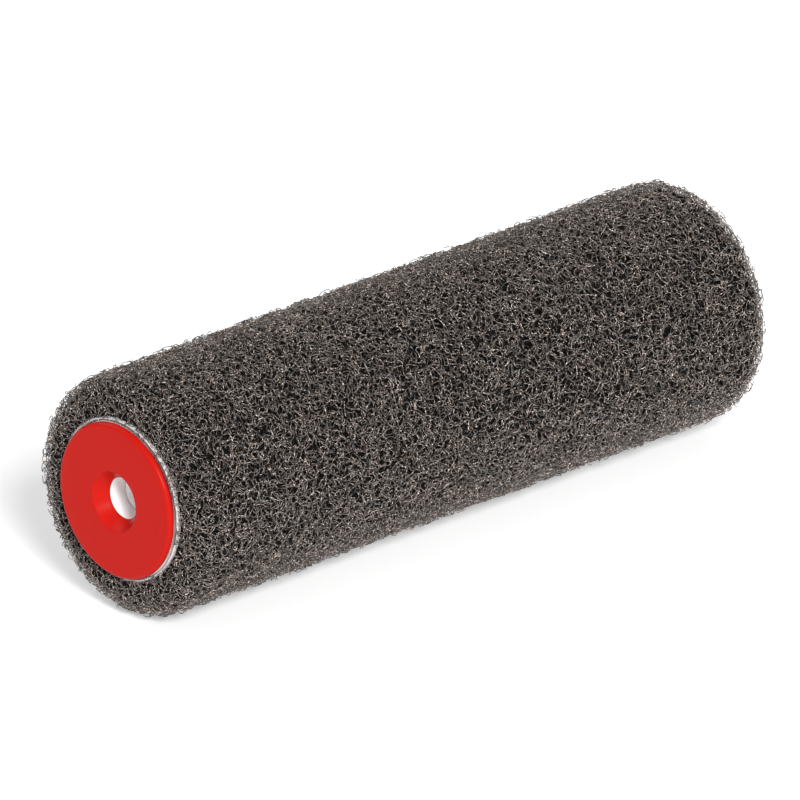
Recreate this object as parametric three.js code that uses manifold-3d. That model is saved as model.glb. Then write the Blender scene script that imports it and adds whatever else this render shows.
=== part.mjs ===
// A refill sleeve for a paint roller: a plastic core tube with a curly looped-nylon cover,
// a press-in cap at each end, and an axle tube that stays still on the frame's rod while the sleeve turns.
// Millimetres, +Z up. The roller's axis is Y, the origin is the sleeve's centre, and "near" is the -Y end.
import * as THREE from "three";
import { mergeVertices } from "three/addons/utils/BufferGeometryUtils.js";
import Module from "manifold-3d";

const wasm = await Module();
wasm.setup();

// ---- driving dimensions -------------------------------------------------------------------------
const COVER_LENGTH = 230;
const COVER_RADIUS = 37.3;
const CORE_BORE_RADIUS = 21.9;
const CORE_WALL = 1.9;
const BACKING_THICKNESS = 1.1;
const ROD_RADIUS = 4;
const AXLE_BORE_RADIUS = 6.35;
const AXLE_WALL = 1.25;
const GAP = 0.3; // between pieces that touch, and round the axle tube as running clearance

// ---- sizes that follow from them ----------------------------------------------------------------
const HALF_LENGTH = COVER_LENGTH / 2;
const CORE_RADIUS = CORE_BORE_RADIUS + CORE_WALL;
const BACKING_BORE_RADIUS = CORE_RADIUS + GAP;
const BACKING_RADIUS = BACKING_BORE_RADIUS + BACKING_THICKNESS;
const AXLE_RADIUS = AXLE_BORE_RADIUS + AXLE_WALL;

const CAP = {
  frontY: -HALF_LENGTH - 1.5, // the near cap's outer face, a little proud of the cover
  flangeThickness: 1.9,
  flangeRadius: CORE_RADIUS - 0.05,
  rimFillet: 1.4,
  funnelRadius: 9,
  funnelDepth: 3.6,
  funnelLip: 1.2,
  shoulderThickness: 0.8, // the ring that keeps the axle tube from sliding out
  hubRadius: 10.5,
  hubLength: 18.5, // from the outer face
  skirtRadius: CORE_BORE_RADIUS - 0.7,
  skirtWall: 1.6,
  skirtLength: 16, // from the outer face
};
const CRUSH_RIB = { count: 12, radius: 0.7, standOff: 0.4, setBack: 1, sides: 6 };
const WEB = { count: 8, thickness: 1.2, setBack: 2 }; // set back from the skirt's end
const SUNK = 0.5; // how deep a joined shape is sunk into its neighbour, to merge with it
CAP.flangeBackY = CAP.frontY + CAP.flangeThickness;
CAP.shoulderY = CAP.frontY + CAP.funnelDepth;
CAP.seatY = CAP.shoulderY + CAP.shoulderThickness;
CAP.hubBoreRadius = AXLE_RADIUS + GAP;
CAP.hubEndY = CAP.frontY + CAP.hubLength;
CAP.skirtEndY = CAP.frontY + CAP.skirtLength;

const GUIDE = {
  boreRadius: ROD_RADIUS + 0.1,
  radius: AXLE_BORE_RADIUS - GAP,
  length: 12,
  depth: 10, // from the cap's outer face to the guide's front
  chamfer: 0.8,
};
const COVER_CORNER = 8; // how far the loops round off at each end
const COVER_BORE_RADIUS = BACKING_RADIUS + GAP;
const COVER_FACETS = 32; // a facet of the cover faces down, so that the sleeve rests on a flat
const FACETS = 48;
const CORNER_STEPS = 3;

// ---- materials ----------------------------------------------------------------------------------
function plastic(color, roughness) {
  return new THREE.MeshStandardMaterial({ color, roughness, metalness: 0 });
}

const redPlastic = () => plastic(0xcc2a25, 0.42);
const whitePlastic = () => plastic(0xe9e6e3, 0.5);
const whiteFabric = () => plastic(0xd8d5d2, 0.95);
const greyNylon = () => plastic(0x4d4744, 0.6);

// ---- shape helpers ------------------------------------------------------------------------------
// Spins a closed outline of (radius, y) round the Y axis, with a facet's middle facing straight down.
function spin(outline, facets = FACETS) {
  return new THREE.LatheGeometry(outline.getPoints(CORNER_STEPS), facets, Math.PI / facets);
}

function ringOutline(innerRadius, outerRadius, fromY, toY) {
  const outline = new THREE.Path();
  outline.moveTo(innerRadius, fromY);
  outline.lineTo(outerRadius, fromY);
  outline.lineTo(outerRadius, toY);
  outline.lineTo(innerRadius, toY);
  outline.closePath();
  return outline;
}

function toSolid(geometry) {
  const bare = geometry.clone();
  bare.deleteAttribute("normal");
  bare.deleteAttribute("uv");
  const merged = mergeVertices(bare);
  const vertProperties = merged.attributes.position.array;
  const triVerts = new Uint32Array(merged.index.array);
  return new wasm.Manifold(new wasm.Mesh({ numProp: 3, vertProperties, triVerts }));
}

function toGeometry(solid) {
  const mesh = solid.getMesh();
  const geometry = new THREE.BufferGeometry();
  geometry.setAttribute("position", new THREE.BufferAttribute(mesh.vertProperties, 3));
  geometry.setIndex(new THREE.BufferAttribute(mesh.triVerts, 1));
  geometry.computeVertexNormals();
  return geometry;
}

function piece(name, geometry, material) {
  const mesh = new THREE.Mesh(geometry, material);
  mesh.name = name;
  return mesh;
}

// ---- the axle: what stays still on the frame's rod ----------------------------------------------
function axleTube() {
  const endY = -CAP.seatY - GAP;
  const geometry = spin(ringOutline(AXLE_BORE_RADIUS, AXLE_RADIUS, -endY, endY));
  return piece("axle_tube", geometry, whitePlastic());
}

// A bush inside the axle tube that grips the frame's rod, chamfered where the rod enters it.
function rodGuide(name) {
  const frontY = CAP.frontY + GUIDE.depth;
  const backY = frontY + GUIDE.length;
  const outline = new THREE.Path();
  outline.moveTo(GUIDE.boreRadius + GUIDE.chamfer, frontY);
  outline.lineTo(GUIDE.radius, frontY);
  outline.lineTo(GUIDE.radius, backY);
  outline.lineTo(GUIDE.boreRadius + GUIDE.chamfer, backY);
  outline.lineTo(GUIDE.boreRadius, backY - GUIDE.chamfer);
  outline.lineTo(GUIDE.boreRadius, frontY + GUIDE.chamfer);
  outline.closePath();
  return piece(name, spin(outline), whitePlastic());
}

// ---- the sleeve: what turns ---------------------------------------------------------------------
function coreTube() {
  const endY = -CAP.flangeBackY - GAP;
  const geometry = spin(ringOutline(CORE_BORE_RADIUS, CORE_RADIUS, -endY, endY));
  return piece("core_tube", geometry, whitePlastic());
}

function backingFabric() {
  const geometry = spin(ringOutline(BACKING_BORE_RADIUS, BACKING_RADIUS, -HALF_LENGTH, HALF_LENGTH));
  return piece("backing_fabric", geometry, whiteFabric());
}

function loopCover() {
  const cornerRadius = COVER_RADIUS - COVER_CORNER;
  const cornerY = HALF_LENGTH - COVER_CORNER;
  const outline = new THREE.Path();
  outline.moveTo(COVER_BORE_RADIUS, -HALF_LENGTH);
  outline.lineTo(cornerRadius, -HALF_LENGTH);
  outline.absarc(cornerRadius, -cornerY, COVER_CORNER, -Math.PI / 2, 0);
  outline.absarc(cornerRadius, cornerY, COVER_CORNER, 0, Math.PI / 2);
  outline.lineTo(COVER_BORE_RADIUS, HALF_LENGTH);
  outline.closePath();
  return piece("loop_cover", spin(outline, COVER_FACETS), greyNylon());
}

// The cap's turned shape: flange, funnel, shoulder, hub and skirt.
function capOutline() {
  const rimY = CAP.frontY + CAP.rimFillet;
  const lipY = CAP.frontY + CAP.funnelLip;
  const skirtBore = CAP.skirtRadius - CAP.skirtWall;
  const outline = new THREE.Path();
  outline.moveTo(CAP.funnelRadius + CAP.funnelLip, CAP.frontY);
  outline.lineTo(CAP.flangeRadius - CAP.rimFillet, CAP.frontY);
  outline.absarc(CAP.flangeRadius - CAP.rimFillet, rimY, CAP.rimFillet, -Math.PI / 2, 0);
  outline.lineTo(CAP.flangeRadius, CAP.flangeBackY);
  outline.lineTo(CAP.skirtRadius, CAP.flangeBackY);
  outline.lineTo(CAP.skirtRadius, CAP.skirtEndY);
  outline.lineTo(skirtBore, CAP.skirtEndY);
  outline.lineTo(skirtBore, CAP.flangeBackY);
  outline.lineTo(CAP.hubRadius, CAP.shoulderY);
  outline.lineTo(CAP.hubRadius, CAP.hubEndY);
  outline.lineTo(CAP.hubBoreRadius, CAP.hubEndY);
  outline.lineTo(CAP.hubBoreRadius, CAP.seatY);
  outline.lineTo(AXLE_BORE_RADIUS, CAP.seatY);
  outline.lineTo(AXLE_BORE_RADIUS, CAP.shoulderY);
  outline.lineTo(CAP.funnelRadius, lipY);
  outline.absarc(CAP.funnelRadius + CAP.funnelLip, lipY, CAP.funnelLip, Math.PI, Math.PI * 1.5);
  return outline;
}

// Half-sunk ribs along the skirt, which squeeze as the cap is pressed into the core.
function crushRib(angle) {
  const fromY = CAP.flangeBackY + CRUSH_RIB.setBack;
  const toY = CAP.skirtEndY - CRUSH_RIB.setBack;
  const rib = new THREE.CylinderGeometry(CRUSH_RIB.radius, CRUSH_RIB.radius, toY - fromY, CRUSH_RIB.sides);
  rib.translate(0, (fromY + toY) / 2, CAP.skirtRadius - CRUSH_RIB.radius + CRUSH_RIB.standOff);
  rib.rotateY(angle);
  return rib;
}

// A web that stiffens the cap between its hub and its skirt.
function web(angle) {
  const innerRadius = CAP.hubRadius - SUNK;
  const outerRadius = CAP.skirtRadius - CAP.skirtWall + SUNK;
  const fromY = CAP.flangeBackY - SUNK;
  const toY = CAP.skirtEndY - WEB.setBack;
  const plate = new THREE.BoxGeometry(WEB.thickness, toY - fromY, outerRadius - innerRadius);
  plate.translate(0, (fromY + toY) / 2, (innerRadius + outerRadius) / 2);
  plate.rotateY(angle);
  return plate;
}

function endCap(name) {
  let solid = toSolid(spin(capOutline()));
  for (let i = 0; i < CRUSH_RIB.count; i++) {
    solid = solid.add(toSolid(crushRib((i * 2 * Math.PI) / CRUSH_RIB.count)));
  }
  for (let i = 0; i < WEB.count; i++) {
    solid = solid.add(toSolid(web(((i + 0.5) * 2 * Math.PI) / WEB.count)));
  }
  return piece(name, toGeometry(solid), redPlastic());
}

// Turns a near-end piece round to the far end.
function atFarEnd(mesh) {
  mesh.rotation.z = Math.PI;
  return mesh;
}

// ---- assembly -----------------------------------------------------------------------------------
const axle = new THREE.Group();
axle.add(axleTube(), rodGuide("rod_guide_near"), atFarEnd(rodGuide("rod_guide_far")));

const sleeve = new THREE.Group();
sleeve.add(coreTube(), backingFabric(), loopCover());
sleeve.add(endCap("end_cap_near"), atFarEnd(endCap("end_cap_far")));

const roller = new THREE.Group();
roller.add(axle, sleeve);

export default roller;
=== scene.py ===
import math

import bmesh
import bpy
from mathutils import Matrix, Vector


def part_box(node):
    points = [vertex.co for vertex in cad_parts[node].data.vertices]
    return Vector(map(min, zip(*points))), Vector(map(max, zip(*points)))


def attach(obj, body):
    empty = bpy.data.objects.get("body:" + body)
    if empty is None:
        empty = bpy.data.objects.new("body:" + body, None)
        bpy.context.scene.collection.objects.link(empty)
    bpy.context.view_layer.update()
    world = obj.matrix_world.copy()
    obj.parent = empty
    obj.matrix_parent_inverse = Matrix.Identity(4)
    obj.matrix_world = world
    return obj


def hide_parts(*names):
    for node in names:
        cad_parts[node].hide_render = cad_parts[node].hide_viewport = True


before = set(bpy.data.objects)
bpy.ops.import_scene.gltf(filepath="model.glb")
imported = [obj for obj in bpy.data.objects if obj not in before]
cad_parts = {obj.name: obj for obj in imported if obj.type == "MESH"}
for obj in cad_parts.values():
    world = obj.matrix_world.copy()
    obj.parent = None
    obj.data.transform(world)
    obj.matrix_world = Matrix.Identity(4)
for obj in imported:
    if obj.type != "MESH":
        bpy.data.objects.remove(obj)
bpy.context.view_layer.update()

MM = 0.001

# ---- sizes that the CAD model gives -------------------------------------------------------------
COVER_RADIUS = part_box("loop_cover")[1].x
HALF_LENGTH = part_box("loop_cover")[1].y
CAP_FACE_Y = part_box("end_cap_near")[0].y
CAP_BACK_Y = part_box("end_cap_near")[1].y
CORE_END_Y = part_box("core_tube")[1].y
AXLE_END_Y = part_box("axle_tube")[1].y
GUIDE_FRONT_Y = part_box("rod_guide_near")[0].y
GUIDE_BACK_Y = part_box("rod_guide_near")[1].y

# ---- radii and walls inside those boxes ---------------------------------------------------------
CORE_BORE, CORE_RADIUS = 21.9 * MM, 23.8 * MM
CORE_SET_BACK = 1.2 * MM  # leaves a dark slot behind each cap's rim
BACKING_BORE, BACKING_RADIUS = 24.1 * MM, 24.75 * MM  # thinner than its CAD solid, as the pile leans on it
COVER_BORE = 25.0 * MM
COVER_CORNER = 8 * MM
AXLE_BORE, AXLE_RADIUS = 6.35 * MM, 7.6 * MM
GUIDE_BORE, GUIDE_RADIUS = 4.1 * MM, 6.05 * MM
GUIDE_CHAMFER, GUIDE_EDGE = 0.8 * MM, 0.3 * MM  # on the rod's hole, and on the front's outer edge
TUBE_EDGE, CLOTH_EDGE = 0.2 * MM, 0.3 * MM  # rounding of the tubes' and the cloth's ends

FLANGE_RADIUS, FLANGE_THICKNESS, RIM_FILLET = 23.75 * MM, 1.9 * MM, 1.4 * MM
FUNNEL_RADIUS, FUNNEL_DEPTH, FUNNEL_LIP, FUNNEL_LIP_ROUND = 9 * MM, 3.6 * MM, 0.4 * MM, 0.9 * MM
SHOULDER = 0.8 * MM
HUB_BORE, HUB_RADIUS = 7.9 * MM, 10.5 * MM
SKIRT_RADIUS, SKIRT_WALL, SKIRT_LENGTH = 21.2 * MM, 1.6 * MM, 16 * MM
CRUSH_RIBS, CRUSH_RIB_RADIUS, CRUSH_RIB_STAND_OFF = 12, 0.7 * MM, 0.4 * MM
CRUSH_RIB_SHORTER = 2 * MM  # than the skirt is behind the flange
WEBS, WEB_THICKNESS, WEB_SET_BACK = 8, 1.2 * MM, 2 * MM
WEB_SUNK = 0.5 * MM  # into the hub, the skirt and the flange
MOULD_NICK = 0.2 * MM  # rounding of the cap's small edges

# ---- the curled filaments -----------------------------------------------------------------------
STRAND_PIECES = 10
STRAND_STEPS = 14  # points along a filament
STRAND_SPACING = 1.255 * MM  # between the middles of neighbouring filaments, at least
STRAND_RADIUS = 0.13 * MM
STEP_LENGTH, STEP_SPREAD = 0.74 * MM, 0.2 * MM
TURN_PER_STEP, WANDER = 0.5, 5.0  # radians
LARGEST_TILT, STEEPEST, CLIMB = 1.3, 0.6, 2.2  # of a filament's own plane, and of its path to that plane
WANDER_APART, DRIFT_APART, TURN_APART = 977, 613, 40  # these keep the filaments unlike each other
WANDER_PACE, DRIFT_PACE, DRIFT_START = 0.23, 0.17, 50
DARKEST_SHADE, PALEST_SHADE = 0.4, 0.85
THINNEST, THICKEST = 0.8, 1.15  # times the filament's radius
SHALLOWEST, DEEPEST = 0.7 * MM, 3.1 * MM  # of the filaments' middles, below the cover's barrel
END_SHALLOWEST = 0.3 * MM  # the same for its end faces
LOWEST_TIP, HIGHEST_TIP = -1.0 * MM, 0.4 * MM  # of the filaments' loops, from the cover's outside
LIGHT_DEPTH, DARK_DEPTH = 0.6 * MM, 3.1 * MM  # painted shade: a filament's colour fades darker between these depths
SHADED_TIP_DEPTH, UNSHADED_TIP_DEPTH, TIP_PAINTED_SHADE = 0.0, 1.4 * MM, 0.42  # painted shade: the outermost loops are darkened between these depths, down to this share of their colour
PRESS = 1.2 * MM  # how softly the loops flatten against the cover's outside
SEED_STEP = 100  # between the pieces of filaments
DEPTH_FAVOUR = 1.5  # above 1, more of the filaments lie near the outside than deep down
DOTS_TRIED = 4  # in each square of the spacing, before those that stand too close are dropped
TINY = 1e-6  # keeps a division from being by zero
WEB_BODY_DEPTH, WEB_END_DEPTH = 3.3 * MM, 1.9 * MM  # from the cover's outside to the inner web, which is painted near black as shade
WEB_STEP, WEB_SEGMENTS, WEB_LUMP_SIZE, WEB_LUMP_HEIGHT = 3 * MM, 96, 3 * MM, 0.8 * MM
PILE_STEP, PILE_SEGMENTS, PILE_CORNER_STEPS = 0.5 * MM, 64, 24  # of the surface that filaments grow from
AREA_ROUNDING = 1e-9  # square metres; an area that falls this little short of its share still makes it
PILE_GAP, LEAN_GAP = 0.5 * MM, 0.2 * MM  # from the cloth's bore to where filaments grow, and may lean

# ---- the backing cloth's frayed ends ------------------------------------------------------------
CLOTH_SET_BACK = 0.8 * MM
FIBRE_STEPS = 6
FIBRE_SPACING = 0.32 * MM
FIBRE_RADIUS = 0.05 * MM
FIBRE_STEP, FIBRE_STEP_SPREAD = 0.25 * MM, 0.15 * MM
FIBRE_SHORTEST, FIBRE_LONGEST = -0.2 * MM, 0.4 * MM  # how far the tips stand past the cloth's cut edge
FIBRE_DEEPEST, FIBRE_SEED, CLOTH_SEGMENTS = 0.5 * MM, 5000, 192

ROUND_SEGMENTS = 128
FILLET_STEPS, EDGE_STEPS = 8, 3
SMOOTH_UNDER = 35  # degrees; faces that meet more sharply keep an edge

# ---- camera and floor ---------------------------------------------------------------------------
VIEW_AZIMUTH, VIEW_ELEVATION = math.radians(46.8), math.radians(22.5)
VIEW_DISTANCE, VIEW_REACH = 7.5, 50
VIEW_WIDTH = 234.3 * MM  # what the picture takes in across, at the object's centre
VIEW_ASIDE, VIEW_BELOW = 1.9 * MM, 1.0 * MM  # how far the view is centred left of and below the object
SENSOR_WIDTH = 36.0
FLOOR_HALF = 15.0


# ---- node trees ---------------------------------------------------------------------------------
MIX_FACTOR, MIX_LOW, MIX_HIGH = 0, 6, 7  # a Mix node's sockets when it mixes colours


class Wire:
    """A node's output. Arithmetic on it adds Math nodes to its tree."""

    def __init__(self, tree, socket):
        self.tree, self.socket = tree, socket

    def out(self, name):
        """Another output of the same node."""
        return Wire(self.tree, self.socket.node.outputs[name])

    def __add__(self, other):
        return self.tree.math("ADD", self, other)

    def __radd__(self, other):
        return self.tree.math("ADD", other, self)

    def __sub__(self, other):
        return self.tree.math("SUBTRACT", self, other)

    def __rsub__(self, other):
        return self.tree.math("SUBTRACT", other, self)

    def __mul__(self, other):
        return self.tree.math("MULTIPLY", self, other)

    def __rmul__(self, other):
        return self.tree.math("MULTIPLY", other, self)

    def __truediv__(self, other):
        return self.tree.math("DIVIDE", self, other)

    def __rtruediv__(self, other):
        return self.tree.math("DIVIDE", other, self)

    def __pow__(self, other):
        return self.tree.math("POWER", self, other)


class Tree:
    """A shader or geometry node tree that is written as calls and expressions."""

    def __init__(self, node_tree):
        self.nodes, self.links = node_tree.nodes, node_tree.links

    def add(self, kind, settings=None, inputs=None):
        """Adds a node, sets it up, then feeds its sockets, and returns its first output in use."""
        node = self.nodes.new(kind)
        for name, value in (settings or {}).items():
            if name == "stops":
                self.set_stops(node.color_ramp, value)
            else:
                setattr(node, name, value)
        for name, value in (inputs or {}).items():
            self.feed(node.inputs[name], value)
        first = next((s for s in node.outputs if s.enabled), None)
        return Wire(self, first) if first else node

    def feed(self, socket, value):
        if isinstance(value, Wire):
            self.links.new(value.socket, socket)
        else:
            socket.default_value = value

    def set_stops(self, ramp, stops):
        while len(ramp.elements) < len(stops):
            ramp.elements.new(1.0)
        for element, (position, grey) in zip(ramp.elements, stops):
            element.position = position
            element.color = (grey, grey, grey, 1)

    def math(self, operation, *values):
        return self.add("ShaderNodeMath", {"operation": operation}, dict(enumerate(values)))

    def vector(self, operation, *values):
        return self.add("ShaderNodeVectorMath", {"operation": operation}, dict(enumerate(values)))

    def scaled(self, vector, factor):
        return self.add("ShaderNodeVectorMath", {"operation": "SCALE"}, {0: vector, "Scale": factor})

    def mixed(self, factor, low, high):
        """A colour between low and high."""
        return self.add(
            "ShaderNodeMix", {"data_type": "RGBA"}, {MIX_FACTOR: factor, MIX_LOW: low, MIX_HIGH: high}
        )


# ---- materials ----------------------------------------------------------------------------------
def new_material(name):
    material = bpy.data.materials.new(name)
    material.use_nodes = True
    material.node_tree.nodes.clear()
    return material, Tree(material.node_tree)


def finish_surface(tree, settings):
    shader = tree.add("ShaderNodeBsdfPrincipled", None, settings)
    tree.add("ShaderNodeOutputMaterial", None, {"Surface": shader})


def noise(tree, place, scale, detail):
    return tree.add("ShaderNodeTexNoise", None, {"Vector": place, "Scale": scale, "Detail": detail})


def bumped(tree, height, distance, strength=1.0):
    return tree.add("ShaderNodeBump", None, {"Height": height, "Distance": distance, "Strength": strength})


def moulded_plastic(name, colour, deep_colour, roughness):
    """Satin polypropylene: faint flow mottling, a fine eroded grain, and small handling scuffs."""
    material, tree = new_material(name)
    place = tree.add("ShaderNodeTexCoord").out("Object")
    mottle = noise(tree, place, scale=90, detail=4)
    grain = noise(tree, place, scale=5200, detail=2)
    drawn_out = tree.vector("MULTIPLY", place, (900, 140, 240))
    scuff_lines = noise(tree, drawn_out, scale=1.0, detail=3)
    scuffs = tree.add(
        "ShaderNodeValToRGB", {"stops": [(0.63, 0.0), (0.70, 1.0)]}, {"Fac": scuff_lines}
    )
    surface = {
        "Base Color": tree.mixed(mottle, deep_colour, colour),
        "Roughness": roughness + (mottle - 0.5) * 0.12 + scuffs * 0.06,
        "IOR": 1.49,
        "Specular IOR Level": 0.06,
        "Normal": bumped(tree, grain + mottle * 2.0, distance=0.012 * MM, strength=0.5),
    }
    finish_surface(tree, surface)
    return material


def nylon_filament():
    """Each strand's colour follows its stored shade: its own random tone, darkened by painted shade deep in
    the pile and at the outermost loops, with short painted glints of paler colour.
    """
    material, tree = new_material("grey_nylon_filament")
    shade = tree.add("ShaderNodeAttribute", {"attribute_name": "shade"}).out("Fac")
    place = tree.add("ShaderNodeTexCoord").out("Object")
    # painted glints: noise picks short stretches whose base colour goes towards near white
    fine = noise(tree, place, scale=2200, detail=1)
    glints = tree.add("ShaderNodeValToRGB", {"stops": [(0.57, 0.0), (0.64, 1.0)]}, {"Fac": fine})
    tone = shade * (0.185 + glints * 1.45)
    surface = {
        "Base Color": tree.mixed(tone, (0.002, 0.0017, 0.0014, 1), (0.92, 0.757, 0.66, 1)),
        "Roughness": 0.30 - glints * 0.12,
        "IOR": 1.53,
        "Specular IOR Level": 0.75,
    }
    finish_surface(tree, surface)
    return material


def inner_web():
    """The depth of the web, painted near black for the shade deep in the pile, with a faint tangle of
    filaments painted a little paler, as if catching a little light.
    """
    material, tree = new_material("inner_web")
    place = tree.add("ShaderNodeTexCoord").out("Object")
    wander = noise(tree, place, scale=420, detail=2)
    bent = tree.vector("ADD", place, tree.scaled(wander.out("Color"), 1.6 * MM))
    tangle = tree.add(
        "ShaderNodeTexVoronoi", {"feature": "DISTANCE_TO_EDGE"}, {"Vector": bent, "Scale": 620}
    )
    filaments = tree.add("ShaderNodeValToRGB", {"stops": [(0.03, 1.0), (0.14, 0.0)]}, {"Fac": tangle})
    surface = {
        "Base Color": tree.mixed(filaments, (0.001, 0.001, 0.001, 1), (0.012, 0.011, 0.010, 1)),
        "Roughness": 0.9 - filaments * 0.3,
        "Specular IOR Level": 0.1,
        "Normal": bumped(tree, filaments, distance=0.3 * MM),
    }
    finish_surface(tree, surface)
    return material


def backing_cloth():
    """White woven backing: warp and weft ribs, softened by a nap."""
    material, tree = new_material("white_backing_cloth")
    place = tree.add("ShaderNodeTexCoord").out("Object")
    nap = noise(tree, place, scale=2600, detail=3)
    rib = {"wave_type": "RINGS", "rings_direction": "Y"}
    around = tree.add("ShaderNodeTexWave", rib, {"Vector": place, "Scale": 380, "Distortion": 1.5})
    along = tree.add(
        "ShaderNodeTexWave", {"bands_direction": "Y"}, {"Vector": place, "Scale": 260, "Distortion": 1.5}
    )
    weave = around.out("Fac") * along.out("Fac")
    surface = {
        "Base Color": tree.mixed(nap, (0.40, 0.39, 0.38, 1), (0.66, 0.65, 0.65, 1)),
        "Roughness": 0.92 - nap * 0.1,
        "Normal": bumped(tree, weave + nap, distance=0.12 * MM),
    }
    finish_surface(tree, surface)
    return material


def cloth_fibre():
    material, tree = new_material("white_cloth_fibre")
    place = tree.add("ShaderNodeTexCoord").out("Object")
    shade = noise(tree, place, scale=1100, detail=2)
    surface = {
        "Base Color": tree.mixed(shade, (0.42, 0.41, 0.41, 1), (0.74, 0.74, 0.74, 1)),
        "Roughness": 0.75 - shade * 0.15,
    }
    finish_surface(tree, surface)
    return material


# ---- turned shapes ------------------------------------------------------------------------------
def arc(centre, radius, start_degrees, end_degrees, steps=FILLET_STEPS):
    """Points of a round stretch of an outline, ends included."""
    points = []
    for i in range(steps + 1):
        angle = math.radians(start_degrees + (end_degrees - start_degrees) * i / steps)
        points.append((centre[0] + radius * math.cos(angle), centre[1] + radius * math.sin(angle)))
    return points


def spun(outline, segments=ROUND_SEGMENTS, closed=True):
    """A bmesh of an outline of (radius, y) points turned round the Y axis."""
    shape = bmesh.new()
    rings = []
    for radius, y in outline:
        turns = [2 * math.pi * i / segments for i in range(segments)]
        rings.append([shape.verts.new((radius * math.sin(t), y, radius * math.cos(t))) for t in turns])
    following = rings[1:] + rings[:1] if closed else rings[1:]
    for ring, after in zip(rings, following):
        for i in range(segments):
            j = (i + 1) % segments
            shape.faces.new((ring[i], ring[j], after[j], after[i]))
    bmesh.ops.recalc_face_normals(shape, faces=shape.faces)
    return shape


def to_mesh(shape, name="scratch"):
    mesh = bpy.data.meshes.new(name)
    shape.to_mesh(mesh)
    shape.free()
    return mesh


def to_piece(name, shape, material, smooth_under=SMOOTH_UNDER):
    """An object from a bmesh, smooth except where its faces meet more sharply than the angle."""
    mesh = to_mesh(shape, name)
    mesh.materials.append(material)
    piece = bpy.data.objects.new(name, mesh)
    bpy.context.scene.collection.objects.link(piece)
    mesh.shade_smooth()
    mesh.set_sharp_from_angle(angle=math.radians(smooth_under))
    return piece


def settle(piece):
    """Replaces a piece's mesh with what its modifiers make, and removes them."""
    made = bpy.data.meshes.new_from_object(piece.evaluated_get(bpy.context.evaluated_depsgraph_get()))
    piece.modifiers.clear()
    piece.data = made
    made.name = piece.name
    return piece


def placed(piece, body, slot, *nodes):
    """Makes a finished piece ride on its body and stand for its CAD nodes."""
    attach(piece, body)
    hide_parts(*nodes)
    return piece


def turned_round(shape):
    """The same shape at the far end."""
    bmesh.ops.rotate(shape, matrix=Matrix.Rotation(math.pi, 3, "Z"), verts=shape.verts)
    return shape


def ring_outline(bore, radius, low_y, high_y, edge):
    """A tube's wall with its four edges rounded."""
    return (
        arc((bore + edge, low_y + edge), edge, 180, 270, EDGE_STEPS)
        + arc((radius - edge, low_y + edge), edge, 270, 360, EDGE_STEPS)
        + arc((radius - edge, high_y - edge), edge, 0, 90, EDGE_STEPS)
        + arc((bore + edge, high_y - edge), edge, 90, 180, EDGE_STEPS)
    )


# ---- caps ---------------------------------------------------------------------------------------
def cap_outline():
    """Flange, funnel, shoulder, hub and skirt of the near cap, anticlockwise from the funnel's lip."""
    flange_back = CAP_FACE_Y + FLANGE_THICKNESS
    shoulder_y = CAP_FACE_Y + FUNNEL_DEPTH
    seat_y = shoulder_y + SHOULDER
    skirt_end = CAP_FACE_Y + SKIRT_LENGTH
    skirt_bore = SKIRT_RADIUS - SKIRT_WALL
    nick = MOULD_NICK
    rim = (FLANGE_RADIUS - RIM_FILLET, CAP_FACE_Y + RIM_FILLET)
    slope = math.atan2(FUNNEL_DEPTH - FUNNEL_LIP, FUNNEL_RADIUS - AXLE_BORE)
    mouth = FUNNEL_RADIUS + FUNNEL_LIP / math.tan(slope)
    lip = (mouth + FUNNEL_LIP_ROUND * math.tan(slope / 2), CAP_FACE_Y + FUNNEL_LIP_ROUND)
    return (
        arc(rim, RIM_FILLET, 270, 360)
        + arc((FLANGE_RADIUS - nick, flange_back - nick), nick, 0, 90, steps=2)
        + [(SKIRT_RADIUS, flange_back), (SKIRT_RADIUS, skirt_end)]
        + [(skirt_bore, skirt_end), (skirt_bore, flange_back)]
        + [(HUB_RADIUS, shoulder_y), (HUB_RADIUS, CAP_BACK_Y)]
        + [(HUB_BORE, CAP_BACK_Y), (HUB_BORE, seat_y), (AXLE_BORE, seat_y)]
        + arc((AXLE_BORE + nick, shoulder_y + nick), nick, 180, 270, EDGE_STEPS)
        + arc(lip, FUNNEL_LIP_ROUND, 270 - math.degrees(slope), 270)
    )


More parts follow.
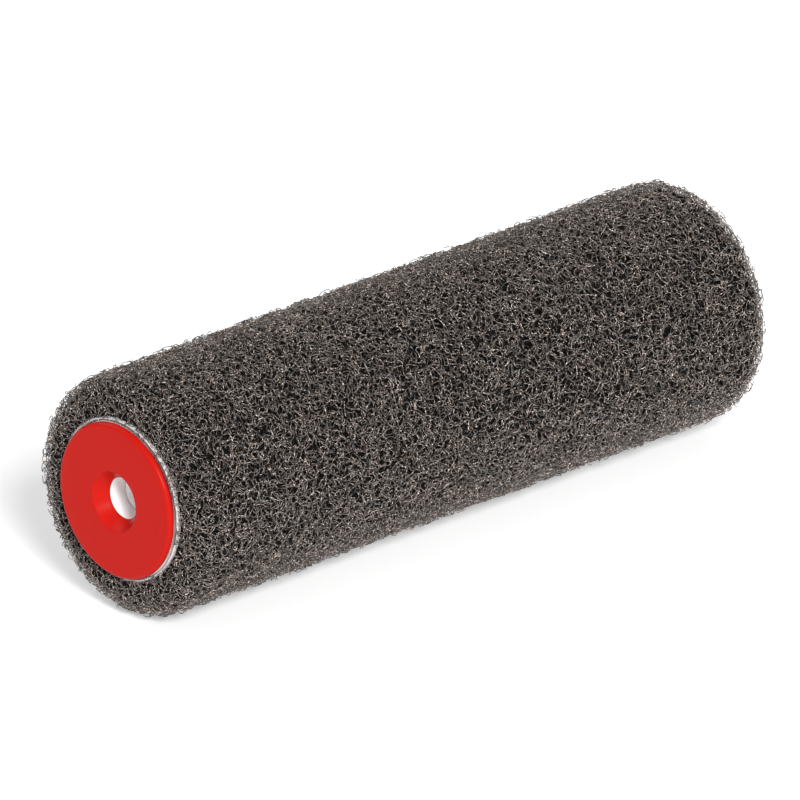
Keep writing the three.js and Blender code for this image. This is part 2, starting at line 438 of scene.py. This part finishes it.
def cap_ribs(body):
    """The crush ribs outside the skirt and the webs inside it, each sunk a little into the turned shape."""
    ribs = bmesh.new()
    flange_back = CAP_FACE_Y + FLANGE_THICKNESS
    skirt_end = CAP_FACE_Y + SKIRT_LENGTH
    skirt_middle = (skirt_end + flange_back) / 2
    rib_length = skirt_end - flange_back - CRUSH_RIB_SHORTER
    rib_distance = SKIRT_RADIUS - CRUSH_RIB_RADIUS + CRUSH_RIB_STAND_OFF
    along_y = Matrix.Rotation(math.pi / 2, 4, "X")
    for i in range(CRUSH_RIBS):
        out = Matrix.Translation((0, skirt_middle, rib_distance))
        turn = Matrix.Rotation(2 * math.pi * i / CRUSH_RIBS, 4, "Y")
        bmesh.ops.create_cone(
            ribs, cap_ends=True, segments=12, radius1=CRUSH_RIB_RADIUS, radius2=CRUSH_RIB_RADIUS,
            depth=rib_length, matrix=turn @ out @ along_y,
        )
    inner, outer = HUB_RADIUS - WEB_SUNK, SKIRT_RADIUS - SKIRT_WALL + WEB_SUNK
    low, high = flange_back - WEB_SUNK, skirt_end - WEB_SET_BACK
    for i in range(WEBS):
        size = Matrix.Diagonal((WEB_THICKNESS, high - low, outer - inner, 1))
        out = Matrix.Translation((0, (low + high) / 2, (inner + outer) / 2))
        turn = Matrix.Rotation(2 * math.pi * (i + 0.5) / WEBS, 4, "Y")
        bmesh.ops.create_cube(ribs, size=1, matrix=turn @ out @ size)
    tool = to_piece(body.name + "_ribs", ribs, body.data.materials[0])
    join = body.modifiers.new("ribs", "BOOLEAN")
    join.operation, join.solver, join.object = "UNION", "EXACT", tool
    join.use_self = True
    settle(body)
    bpy.data.objects.remove(tool)
    body.data.shade_smooth()
    body.data.set_sharp_from_angle(angle=math.radians(SMOOTH_UNDER))
    return body


def end_cap(name, material, far):
    cap = cap_ribs(to_piece(name + "_moulding", spun(cap_outline()), material))
    if far:
        cap.data.transform(Matrix.Rotation(math.pi, 4, "Z"))
    return placed(cap, "sleeve", "red_plastic", name)


# ---- tubes --------------------------------------------------------------------------------------
def core_tube(material):
    end_y = CORE_END_Y - CORE_SET_BACK
    outline = ring_outline(CORE_BORE, CORE_RADIUS, -end_y, end_y, TUBE_EDGE)
    wall = to_piece("core_tube_wall", spun(outline), material)
    return placed(wall, "sleeve", "white_plastic", "core_tube")


def axle_tube(material):
    outline = ring_outline(AXLE_BORE, AXLE_RADIUS, -AXLE_END_Y, AXLE_END_Y, TUBE_EDGE)
    wall = to_piece("axle_tube_wall", spun(outline), material)
    return placed(wall, "axle", "white_plastic", "axle_tube")


def rod_guide(name, material, far):
    chamfer = GUIDE_BORE + GUIDE_CHAMFER
    outline = [
        (chamfer, GUIDE_FRONT_Y),
        (GUIDE_RADIUS - GUIDE_EDGE, GUIDE_FRONT_Y),
        (GUIDE_RADIUS, GUIDE_FRONT_Y + GUIDE_EDGE),
        (GUIDE_RADIUS, GUIDE_BACK_Y),
        (chamfer, GUIDE_BACK_Y),
        (GUIDE_BORE, GUIDE_BACK_Y - GUIDE_CHAMFER),
        (GUIDE_BORE, GUIDE_FRONT_Y + GUIDE_CHAMFER),
    ]
    shape = spun(outline)
    if far:
        turned_round(shape)
    return placed(to_piece(name + "_bush", shape, material), "axle", "white_plastic", name)


# ---- cover --------------------------------------------------------------------------------------
def cover_profile(depth, end_depth, bore, step, corner_steps):
    """(radius, y) points from near bore to far bore, that far below the cover's barrel and end faces."""
    corner = COVER_CORNER - depth
    radius, end = COVER_RADIUS - depth, HALF_LENGTH - end_depth
    face_steps = max(2, round((radius - corner - bore) / step))
    barrel_steps = max(2, round(2 * (end - corner) / step))
    face = [(bore + (radius - corner - bore) * i / face_steps, end) for i in range(face_steps)]
    flat = end - corner
    barrel = [(radius, -flat + 2 * flat * i / barrel_steps) for i in range(1, barrel_steps)]
    near = [(r, -y) for r, y in face] + arc((radius - corner, -flat), corner, 270, 360, corner_steps)
    far = arc((radius - corner, flat), corner, 0, 90, corner_steps) + face[::-1]
    return near + barrel + far


def web_body(material):
    """The depth of the cover, painted dark for its shade, which shows between the filaments."""
    outline = cover_profile(WEB_BODY_DEPTH, WEB_END_DEPTH, COVER_BORE, WEB_STEP, corner_steps=5)
    piece = to_piece("loop_cover_web", spun(outline, WEB_SEGMENTS), material, smooth_under=80)
    lumps = bpy.data.textures.new("web_lumps", "CLOUDS")
    lumps.noise_scale = WEB_LUMP_SIZE
    push = piece.modifiers.new("lumps", "DISPLACE")
    push.texture, push.strength, push.texture_coords = lumps, WEB_LUMP_HEIGHT, "LOCAL"
    settle(piece)
    bpy.data.textures.remove(lumps)
    return placed(piece, "sleeve", "grey_loops", "loop_cover")


def named_inputs(group, sizes):
    """Gives a geometry node group its inputs and returns their wires by name."""
    kinds = {float: "NodeSocketFloat", int: "NodeSocketInt"}
    group.interface.new_socket("Geometry", in_out="INPUT", socket_type="NodeSocketGeometry")
    for name, value in sizes.items():
        kind = "NodeSocketMaterial" if isinstance(value, bpy.types.Material) else kinds[type(value)]
        group.interface.new_socket(name, in_out="INPUT", socket_type=kind)
    group.interface.new_socket("Geometry", in_out="OUTPUT", socket_type="NodeSocketGeometry")
    tree = Tree(group)
    source = group.nodes.new("NodeGroupInput")
    return tree, {s.name: Wire(tree, s) for s in source.outputs if s.name}


def grow(piece, group, sizes):
    """Runs a geometry node group on a piece with these sizes, and leaves a plain mesh."""
    modifier = piece.modifiers.new("grow", "NODES")
    modifier.node_group = group
    for item in group.interface.items_tree:
        if item.in_out == "INPUT" and item.name in sizes:
            modifier[item.identifier] = sizes[item.name]
    return settle(piece)


def random_number(tree, low, high, seed):
    return tree.add(
        "FunctionNodeRandomValue", {"data_type": "FLOAT"}, {"Min": low, "Max": high, "Seed": seed}
    )


def stored(tree, geometry, name, value, kind="FLOAT"):
    settings = {"data_type": kind, "domain": "POINT"}
    return tree.add(
        "GeometryNodeStoreNamedAttribute", settings, {"Geometry": geometry, "Name": name, "Value": value}
    )


def recalled(tree, name, kind="FLOAT"):
    return tree.add("GeometryNodeInputNamedAttribute", {"data_type": kind}, {"Name": name})


def drifting(tree, distance):
    """A value between 0 and 1 that drifts slowly with distance."""
    place = {"W": distance, "Scale": 1.0, "Detail": 1.0}
    return tree.add("ShaderNodeTexNoise", {"noise_dimensions": "1D"}, place)


def curled_path(tree, size):
    """Each filament's points, from the sum of short steps whose direction turns steadily and wanders."""
    step = tree.add("GeometryNodeCurveOfPoint").out("Index in Curve")
    curve = tree.add("GeometryNodeCurveOfPoint").out("Curve Index")
    own = recalled(tree, "own_number")
    wander = drifting(tree, own * WANDER_APART + step * WANDER_PACE)
    drift = drifting(tree, own * DRIFT_APART + step * DRIFT_PACE + DRIFT_START)
    turn = own * TURN_APART + step * size["Turn Per Step"] + (wander - 0.5) * size["Wander"]
    pitch = recalled(tree, "pitch") + (drift - 0.5) * CLIMB
    direction = {"X": tree.math("COSINE", turn), "Y": tree.math("SINE", turn), "Z": pitch}
    heading = tree.vector("NORMALIZE", tree.add("ShaderNodeCombineXYZ", None, direction))
    lie = recalled(tree, "lie", "QUATERNION")
    heading = tree.add("FunctionNodeRotateVector", None, {"Vector": heading, "Rotation": lie})
    stride = tree.scaled(heading, recalled(tree, "stride"))
    adding = {"data_type": "FLOAT_VECTOR", "domain": "POINT"}
    walked = tree.add("GeometryNodeAccumulateField", adding, {"Value": stride, "Group ID": curve})
    summed = tree.add("GeometryNodeAccumulateField", adding, {"Value": walked, "Group ID": curve})
    middle = tree.scaled(summed.out("Total"), 1 / STRAND_STEPS)
    root = recalled(tree, "root", "FLOAT_VECTOR")
    return tree.vector("ADD", root, tree.vector("SUBTRACT", walked, middle))


def kept_in_cover(tree, point, size):
    """Presses what would stick out back to the cover's rounded outside, and a little beyond it."""
    parts = tree.add("ShaderNodeSeparateXYZ", None, {"Vector": point})
    x, y, z = parts, parts.out("Y"), parts.out("Z")
    radius = tree.math("SQRT", x * x + z * z)
    flat_radius = size["Cover Radius"] - size["Corner"]
    flat_end = size["Half Length"] - size["Corner"]
    over_radius = radius - flat_radius
    over_end = tree.math("ABSOLUTE", y) - flat_end
    out_radius = tree.math("MAXIMUM", over_radius, 0.0)
    out_end = tree.math("MAXIMUM", over_end, 0.0)
    reach = tree.math("SQRT", out_radius * out_radius + out_end * out_end) + TINY
    limit = size["Corner"] + recalled(tree, "tip")
    pressed = tree.math("SMOOTH_MIN", reach, limit, size["Press"]) / reach
    depth = size["Corner"] - reach * pressed
    new_radius = flat_radius + tree.math("MINIMUM", over_radius, 0.0) + out_radius * pressed
    new_end = flat_end + tree.math("MINIMUM", over_end, 0.0) + out_end * pressed
    widen = tree.math("MAXIMUM", new_radius, size["Bore"] + recalled(tree, "clearance")) / radius
    kept = {"X": x * widen, "Y": tree.math("SIGN", y) * new_end, "Z": z * widen}
    return tree.add("ShaderNodeCombineXYZ", None, kept), depth


def filament_group(sizes):
    """Geometry nodes that cover a surface with short curled filaments."""
    group = bpy.data.node_groups.new("curled_filaments", "GeometryNodeTree")
    tree, size = named_inputs(group, sizes)
    seed = size["Seed"]
    dots = tree.add(
        "GeometryNodeDistributePointsOnFaces",
        {"distribute_method": "POISSON"},
        {
            "Mesh": size["Geometry"],
            "Distance Min": size["Spacing"],
            "Density Max": DOTS_TRIED / (size["Spacing"] * size["Spacing"]),
            "Seed": seed,
        },
    )
    tip_range = size["Highest Tip"] - size["Lowest Tip"]
    share = random_number(tree, 0.0, 1.0, seed + 1) ** DEPTH_FAVOUR
    depth = share * (size["Deepest"] - size["Shallowest"])
    sunk = tree.scaled(dots.out("Normal"), depth)
    place = tree.vector("SUBTRACT", tree.add("GeometryNodeInputPosition"), sunk)
    tilt = tree.add(
        "FunctionNodeRandomValue",
        {"data_type": "FLOAT_VECTOR"},
        {
            "Min": (-LARGEST_TILT, -LARGEST_TILT, -math.pi),
            "Max": (LARGEST_TILT, LARGEST_TILT, math.pi),
            "Seed": seed + 2,
        },
    )
    tilt = tree.add("FunctionNodeEulerToRotation", None, {"Euler": tilt})
    lie = tree.add(
        "FunctionNodeRotateRotation",
        {"rotation_space": "LOCAL"},
        {"Rotation": dots.out("Rotation"), "Rotate By": tilt},
    )
    geometry = stored(tree, dots, "root", place, "FLOAT_VECTOR")
    geometry = stored(tree, geometry, "lie", lie, "QUATERNION")
    numbers = {
        "own_number": random_number(tree, 0.0, 1.0, seed + 3),
        "stride": size["Step Length"] + random_number(tree, -1.0, 1.0, seed + 4) * size["Step Spread"],
        "pitch": random_number(tree, -STEEPEST, STEEPEST, seed + 5),
        "tip": size["Lowest Tip"] + random_number(tree, 0.0, 1.0, seed + 6) ** 2 * tip_range,
        "clearance": random_number(tree, 0.0, 1.0, seed + 7) ** 2 * size["Step Length"],
        "shade": random_number(tree, DARKEST_SHADE, PALEST_SHADE, seed + 8),
        "thickness": size["Strand Radius"] * random_number(tree, THINNEST, THICKEST, seed + 9),
    }
    for name, value in numbers.items():
        geometry = stored(tree, geometry, name, value)
    line = tree.add(
        "GeometryNodeResampleCurve",
        {"mode": "COUNT"},
        {"Curve": tree.add("GeometryNodeCurvePrimitiveLine"), "Count": size["Steps"]},
    )
    lines = tree.add("GeometryNodeInstanceOnPoints", None, {"Points": geometry, "Instance": line})
    lines = tree.add("GeometryNodeRealizeInstances", None, {"Geometry": lines})
    path, depth = kept_in_cover(tree, curled_path(tree, size), size)
    # painted shade: a filament's colour fades darker with its depth below the cover's outside, for the
    # shade deep in the pile
    fading = {"Value": depth, "From Min": size["Light Depth"], "From Max": size["Dark Depth"]}
    # painted shade: the outermost loops are darkened too, for the pile's self-shadowing seen edge-on
    tip_shading = {"Value": depth, "From Min": size["Dull Depth"], "From Max": size["Bright Depth"]}
    fade = 1 - tree.add("ShaderNodeMapRange", {"interpolation_type": "SMOOTHSTEP"}, fading)
    tip_unshaded = tree.add("ShaderNodeMapRange", {"interpolation_type": "SMOOTHSTEP"}, tip_shading)
    shade = recalled(tree, "shade") * fade * (size["Dull Shade"] + tip_unshaded * (1 - size["Dull Shade"]))
    lines = stored(tree, lines, "shade", shade)
    lines = tree.add("GeometryNodeSetPosition", None, {"Geometry": lines, "Position": path})
    triangle = {"Resolution": 3, "Radius": 1.0}
    section = tree.add("GeometryNodeCurvePrimitiveCircle", {"mode": "RADIUS"}, triangle)
    thickness = recalled(tree, "thickness")
    tube = {"Curve": lines, "Profile Curve": section, "Scale": thickness, "Fill Caps": True}
    tubes = tree.add("GeometryNodeCurveToMesh", None, tube)
    tubes = tree.add("GeometryNodeSetShadeSmooth", None, {"Geometry": tubes})
    tubes = tree.add("GeometryNodeRealizeInstances", None, {"Geometry": tubes})
    tubes = tree.add("GeometryNodeSetMaterial", None, {"Geometry": tubes, "Material": size["Material"]})
    tree.add("NodeGroupOutput", None, {"Geometry": tubes})
    return group


def facing_out(shell):
    """Turns an open turned shell so that its faces point away from the object's centre."""
    shell.normal_update()
    if sum(face.normal.dot(face.calc_center_median()) for face in shell.faces) < 0:
        bmesh.ops.reverse_faces(shell, faces=shell.faces)
    return shell


def strand_bands(profile):
    """Cuts the profile into stretches of equal turned area, one for each piece of filaments."""
    areas = [
        math.pi * (a[0] + b[0]) * math.hypot(b[0] - a[0], b[1] - a[1]) for a, b in zip(profile, profile[1:])
    ]
    share = sum(areas) / STRAND_PIECES
    bands, band, gathered = [], [profile[0]], 0.0
    for point, area in zip(profile[1:], areas):
        band.append(point)
        gathered += area
        if gathered >= share * (len(bands) + 1) - AREA_ROUNDING and len(bands) < STRAND_PIECES - 1:
            bands.append(band)
            band = [point]
    return bands + [band]


def curled_cover(material):
    bore = BACKING_BORE + PILE_GAP
    profile = cover_profile(SHALLOWEST, END_SHALLOWEST, bore, PILE_STEP, PILE_CORNER_STEPS)
    sizes = {
        "Spacing": STRAND_SPACING,
        "Steps": STRAND_STEPS,
        "Strand Radius": STRAND_RADIUS,
        "Step Length": STEP_LENGTH,
        "Step Spread": STEP_SPREAD,
        "Turn Per Step": TURN_PER_STEP,
        "Wander": WANDER,
        "Shallowest": SHALLOWEST,
        "Deepest": DEEPEST,
        "Cover Radius": COVER_RADIUS,
        "Half Length": HALF_LENGTH,
        "Corner": COVER_CORNER,
        "Bore": BACKING_BORE + LEAN_GAP,
        "Lowest Tip": LOWEST_TIP,
        "Highest Tip": HIGHEST_TIP,
        "Light Depth": LIGHT_DEPTH,
        "Dark Depth": DARK_DEPTH,
        "Dull Depth": SHADED_TIP_DEPTH,
        "Bright Depth": UNSHADED_TIP_DEPTH,
        "Dull Shade": TIP_PAINTED_SHADE,
        "Press": PRESS,
        "Seed": 0,
        "Material": material,
    }
    group = filament_group(sizes)
    for number, band in enumerate(strand_bands(profile), 1):
        sizes["Seed"] = SEED_STEP * number
        shell = facing_out(spun(band, PILE_SEGMENTS, closed=False))
        strands = grow(to_piece(f"loop_cover_strands_{number}", shell, material), group, sizes)
        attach(strands, "sleeve")
    return group, sizes


# ---- backing cloth ------------------------------------------------------------------------------
def frayed_ends(material, group, sizes):
    """Short pale fibres that stand out of the cloth's two cut ends."""
    end_y = HALF_LENGTH - CLOTH_SET_BACK
    sizes = sizes | {
        "Spacing": FIBRE_SPACING,
        "Steps": FIBRE_STEPS,
        "Strand Radius": FIBRE_RADIUS,
        "Step Length": FIBRE_STEP,
        "Step Spread": FIBRE_STEP_SPREAD,
        "Shallowest": 0.0,
        "Deepest": FIBRE_DEEPEST,
        "Half Length": end_y,
        "Bore": FLANGE_RADIUS + LEAN_GAP,
        "Lowest Tip": FIBRE_SHORTEST,
        "Highest Tip": FIBRE_LONGEST,
        "Seed": FIBRE_SEED,
        "Material": material,
    }
    rings = bmesh.new()
    for side in (-1, 1):
        cut_edge = [(BACKING_BORE, side * end_y), (BACKING_RADIUS, side * end_y)]
        ring = to_mesh(facing_out(spun(cut_edge, closed=False)))
        rings.from_mesh(ring)
        bpy.data.meshes.remove(ring)
    fibres = grow(to_piece("backing_cloth_fibres", rings, material), group, sizes)
    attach(fibres, "sleeve")
    return fibres


def backing(material):
    end_y = HALF_LENGTH - CLOTH_SET_BACK
    outline = ring_outline(BACKING_BORE, BACKING_RADIUS, -end_y, end_y, CLOTH_EDGE)
    cloth = to_piece("backing_cloth", spun(outline, CLOTH_SEGMENTS), material)
    placed(cloth, "sleeve", "white_fabric", "backing_fabric")
    return cloth


# ---- stage, light and camera --------------------------------------------------------------------
def floor():
    mesh = bpy.data.meshes.new("floor")
    half = FLOOR_HALF
    height = -COVER_RADIUS - HIGHEST_TIP
    corners = [(-half, -half, height), (half, -half, height), (half, half, height), (-half, half, height)]
    mesh.from_pydata(corners, [], [(0, 1, 2, 3)])
    material, tree = new_material("pale_floor")
    surface = {
        "Base Color": (0.75, 0.75, 0.75, 1),
        "Roughness": 0.8,
        "Emission Color": (1, 1, 1, 1),
        "Emission Strength": 0.35,
    }
    finish_surface(tree, surface)
    mesh.materials.append(material)
    plane = bpy.data.objects.new("floor", mesh)
    bpy.context.scene.collection.objects.link(plane)


def soft_light(name, azimuth, elevation, spread, strength):
    """A far, wide light from that direction; angles in degrees."""
    light = bpy.data.lights.new(name, "SUN")
    light.angle, light.energy = math.radians(spread), strength
    lamp = bpy.data.objects.new(name, light)
    back = direction_vector(math.radians(azimuth), math.radians(elevation))
    lamp.rotation_euler = back.to_track_quat("Z", "Y").to_euler()
    bpy.context.scene.collection.objects.link(lamp)


def direction_vector(azimuth, elevation):
    """From the object towards a viewer at that azimuth, 0 being on the -Y side, and elevation."""
    flat = math.cos(elevation)
    return Vector((math.sin(azimuth) * flat, -math.cos(azimuth) * flat, math.sin(elevation)))


def studio():
    world = bpy.data.worlds.new("studio")
    world.use_nodes = True
    sky = world.node_tree.nodes["Background"]
    sky.inputs["Color"].default_value = (1, 1, 1, 1)
    sky.inputs["Strength"].default_value = 0.35
    scene = bpy.context.scene
    scene.world = world
    scene.view_settings.view_transform = "Standard"
    soft_light("key_light", azimuth=62, elevation=32, spread=18, strength=4.2)
    soft_light("left_fill", azimuth=-80, elevation=40, spread=40, strength=0.9)


def camera():
    lens = bpy.data.cameras.new("camera")
    lens.sensor_width = SENSOR_WIDTH
    lens.lens = SENSOR_WIDTH * VIEW_DISTANCE / VIEW_WIDTH
    lens.clip_end = VIEW_REACH
    eye = bpy.data.objects.new("camera", lens)
    back = direction_vector(VIEW_AZIMUTH, VIEW_ELEVATION)
    aside = Vector((math.cos(VIEW_AZIMUTH), math.sin(VIEW_AZIMUTH), 0))
    above = back.cross(aside)
    eye.location = back * VIEW_DISTANCE - aside * VIEW_ASIDE - above * VIEW_BELOW
    eye.rotation_mode = "QUATERNION"
    eye.rotation_quaternion = back.to_track_quat("Z", "Y")
    bpy.context.scene.collection.objects.link(eye)
    bpy.context.scene.camera = eye


def build():
    camera()
    red = moulded_plastic(
        "red_polypropylene",
        colour=(0.43, 0.009, 0.0055, 1),
        deep_colour=(0.415, 0.0085, 0.005, 1),
        roughness=0.32,
    )
    white = moulded_plastic(
        "white_polypropylene",
        colour=(0.94, 0.93, 0.93, 1),
        deep_colour=(0.91, 0.90, 0.90, 1),
        roughness=0.38,
    )
    end_cap("end_cap_near", red, far=False)
    end_cap("end_cap_far", red, far=True)
    core_tube(white)
    axle_tube(white)
    rod_guide("rod_guide_near", white, far=False)
    rod_guide("rod_guide_far", white, far=True)
    web_body(inner_web())
    group, sizes = curled_cover(nylon_filament())
    backing(backing_cloth())
    frayed_ends(cloth_fibre(), group, sizes)
    floor()
    studio()


build()
